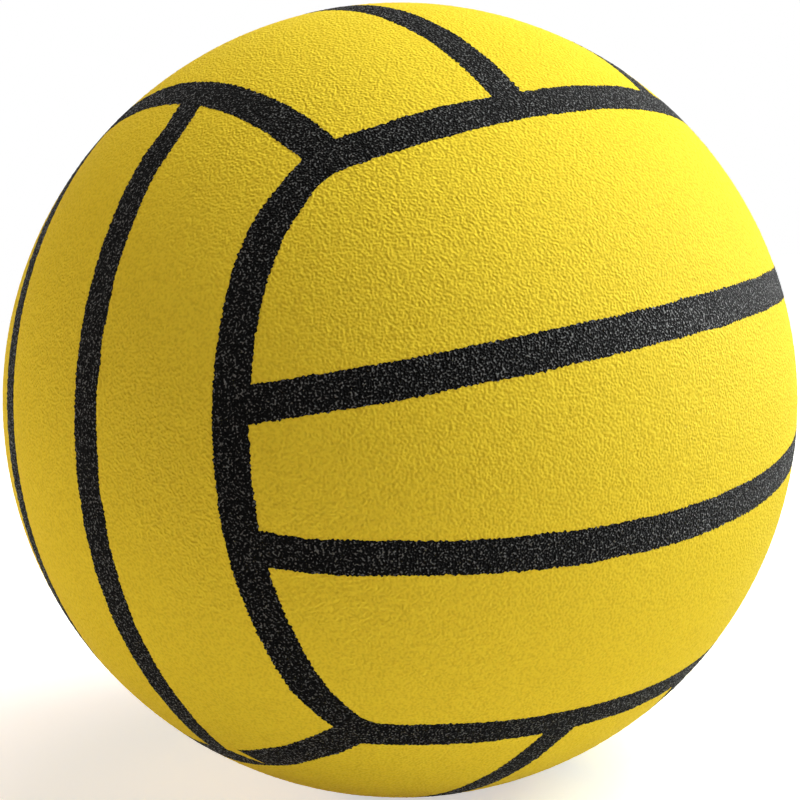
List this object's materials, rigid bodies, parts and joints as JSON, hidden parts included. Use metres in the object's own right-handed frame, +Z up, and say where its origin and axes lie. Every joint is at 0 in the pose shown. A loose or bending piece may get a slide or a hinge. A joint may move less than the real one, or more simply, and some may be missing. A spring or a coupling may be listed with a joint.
{
  "type": "volleyball",
  "caption": "Soft foam training volleyball: a foam core in a grainy yellow skin with black lines in the traditional panel layout.",
  "frame": {"origin": "centre of the ball", "axes": "+Z up through the top face's middle panel, +X through the right face's middle panel, -Y through the front face's middle panel"},
  "size_m": [0.21, 0.21, 0.2099],
  "materials": {
    "yellow_skin": "matte soft skin with a fine worm-like grain",
    "black_skin": "matte black print on the same grain, with ragged edges",
    "foam": "open-cell foam, matte"
  },
  "bodies": {
    "root": {"foam_core": "foam", "right_upper_panel": "yellow_skin", "right_middle_panel": "yellow_skin", "right_lower_panel": "yellow_skin", "left_upper_panel": "yellow_skin", "left_middle_panel": "yellow_skin", "left_lower_panel": "yellow_skin", "front_right_panel": "yellow_skin", "front_middle_panel": "yellow_skin", "front_left_panel": "yellow_skin", "back_right_panel": "yellow_skin", "back_middle_panel": "yellow_skin", "back_left_panel": "yellow_skin", "top_rear_panel": "yellow_skin", "top_middle_panel": "yellow_skin", "top_front_panel": "yellow_skin", "bottom_rear_panel": "yellow_skin", "bottom_middle_panel": "yellow_skin", "bottom_front_panel": "yellow_skin", "right_upper_edge_line": "black_skin", "right_upper_inner_line": "black_skin", "right_lower_edge_line": "black_skin", "right_lower_inner_line": "black_skin", "left_upper_edge_line": "black_skin", "left_upper_inner_line": "black_skin", "left_lower_edge_line": "black_skin", "left_lower_inner_line": "black_skin", "front_right_edge_line": "black_skin", "front_right_inner_line": "black_skin", "front_left_edge_line": "black_skin", "front_left_inner_line": "black_skin", "back_right_edge_line": "black_skin", "back_right_inner_line": "black_skin", "back_left_edge_line": "black_skin", "back_left_inner_line": "black_skin", "top_rear_edge_line": "black_skin", "top_rear_inner_line": "black_skin", "top_front_edge_line": "black_skin", "top_front_inner_line": "black_skin", "bottom_rear_edge_line": "black_skin", "bottom_rear_inner_line": "black_skin", "bottom_front_edge_line": "black_skin", "bottom_front_inner_line": "black_skin"}
  },
  "joints": []
}
